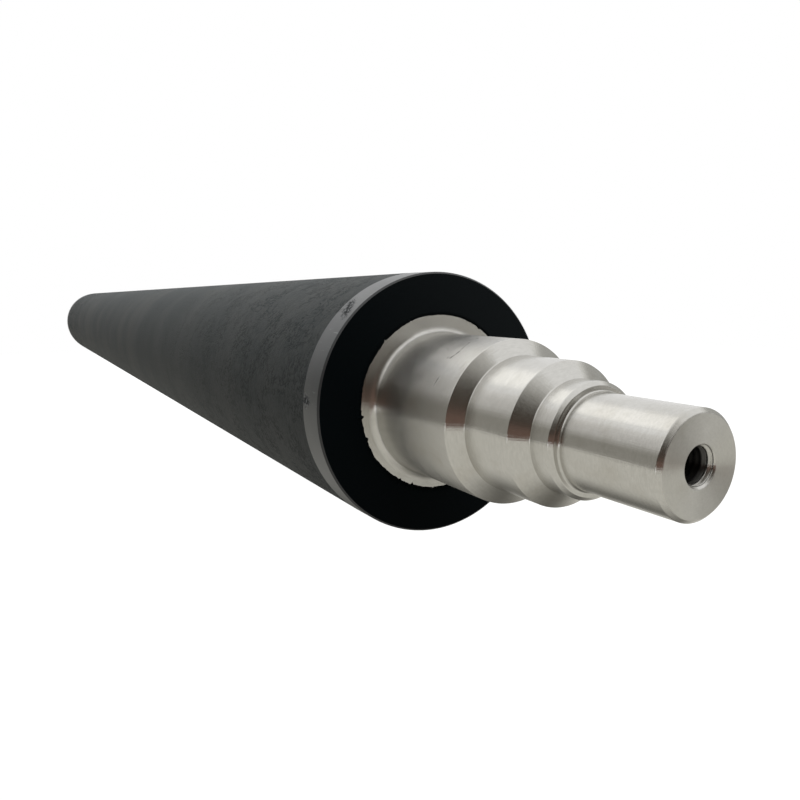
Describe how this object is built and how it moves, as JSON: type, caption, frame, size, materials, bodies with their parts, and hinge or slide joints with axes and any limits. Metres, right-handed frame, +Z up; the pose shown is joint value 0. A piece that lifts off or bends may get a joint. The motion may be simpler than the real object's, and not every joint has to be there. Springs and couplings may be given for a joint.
{
  "type": "offset press rubber roller",
  "caption": "Ink roller for an offset press: a long black rubber covering bonded round a steel shaft whose stepped journals end in tapped centre holes.",
  "frame": {"origin": "on the roller's axis, at the middle of its length", "axes": "+X along the roller's axis towards the end that the picture shows, +Z up"},
  "size_m": [0.9436, 0.07, 0.07],
  "materials": {
    "bright_steel": "turned and polished bright, with fine rings from the lathe",
    "black_rubber": "matte ground rubber, dark grey on the outside, black on the cut end face, with a paler smooth band at each end"
  },
  "bodies": {
    "root": {"steel_shaft": "bright_steel", "rubber_cover": "black_rubber"}
  },
  "joints": []
}
